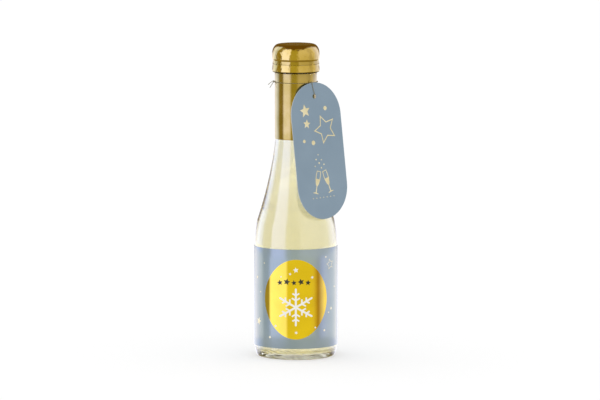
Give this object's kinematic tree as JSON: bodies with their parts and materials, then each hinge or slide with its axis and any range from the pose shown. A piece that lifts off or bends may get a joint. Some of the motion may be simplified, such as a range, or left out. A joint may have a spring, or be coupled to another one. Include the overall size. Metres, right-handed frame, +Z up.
{
  "type": "sparkling wine bottle",
  "caption": "Small clear glass bottle of pale sparkling wine with a gold screw cap and tamper band, foil neck sleeve, wrapped label with a foil oval, and a card hang tag on a thin knotted cord.",
  "frame": {"origin": "middle of the ring that the bottle stands on, in the plane of that ring", "axes": "+Z up along the bottle's axis towards the cap; -Y is the front, where the label's foil oval faces; +X is to the right seen from the front"},
  "size_m": [0.0601, 0.0563, 0.2014],
  "materials": {
    "glass": "clear flint glass",
    "wine": "clear pale yellow liquid",
    "gold_metal": "gold lacquer, polished",
    "insert_plastic": "moulded white plastic",
    "liner_foam": "soft foamed plastic",
    "sleeve_foil": "gold foil, satin",
    "label_paper": "blue-grey metallised paper, satin",
    "print_foil": "hot-stamped gold foil",
    "cord_thread": "twisted gold thread",
    "tag_card": "blue-grey coated card, satin"
  },
  "bodies": {
    "bottle": {"glass_bottle": "glass", "wine": "wine", "tamper_band": "gold_metal", "neck_sleeve": "sleeve_foil", "body_label": "label_paper", "label_disc": "print_foil"},
    "liner": {"sealing_liner": "liner_foam"},
    "cap": {"cap_shell": "gold_metal", "thread_insert": "insert_plastic"},
    "cord_loop": {"neck_cord": "cord_thread", "cord_knot": "cord_thread"},
    "tag_drop": {"tag_cord": "cord_thread"},
    "tag": {"hang_tag": "tag_card"}
  },
  "joints": [
    {"name": "cap_lift", "type": "slide", "parent": "bottle", "child": "liner", "axis": [0, 0, 1], "range_m": [0, 0.0255]},
    {"name": "cap_turn", "type": "hinge", "parent": "liner", "child": "cap", "pos_m": [0, 0, 0.196], "axis": [0, 0, 1], "range_deg": [0, 2880]},
    {"name": "cord_orbit", "type": "hinge", "parent": "bottle", "child": "cord_loop", "pos_m": [0, 0, 0.1772], "axis": [0, 0, 1], "continuous": true},
    {"name": "tag_swing", "type": "hinge", "parent": "cord_loop", "child": "tag_drop", "pos_m": [0.00984, -0.01118, 0.17834], "axis": [-0.7408, -0.6717, 0], "range_deg": [0, 150]},
    {"name": "tag_sway", "type": "hinge", "parent": "tag_drop", "child": "tag", "pos_m": [0.0116, -0.01089, 0.16977], "axis": [0.6674, -0.7361, 0.1129], "range_deg": [-15, 15]}
  ],
  "couplings": [
    {"joint": "cap_lift", "follows": "cap_turn", "m_per_rad": 0.00050531}
  ]
}
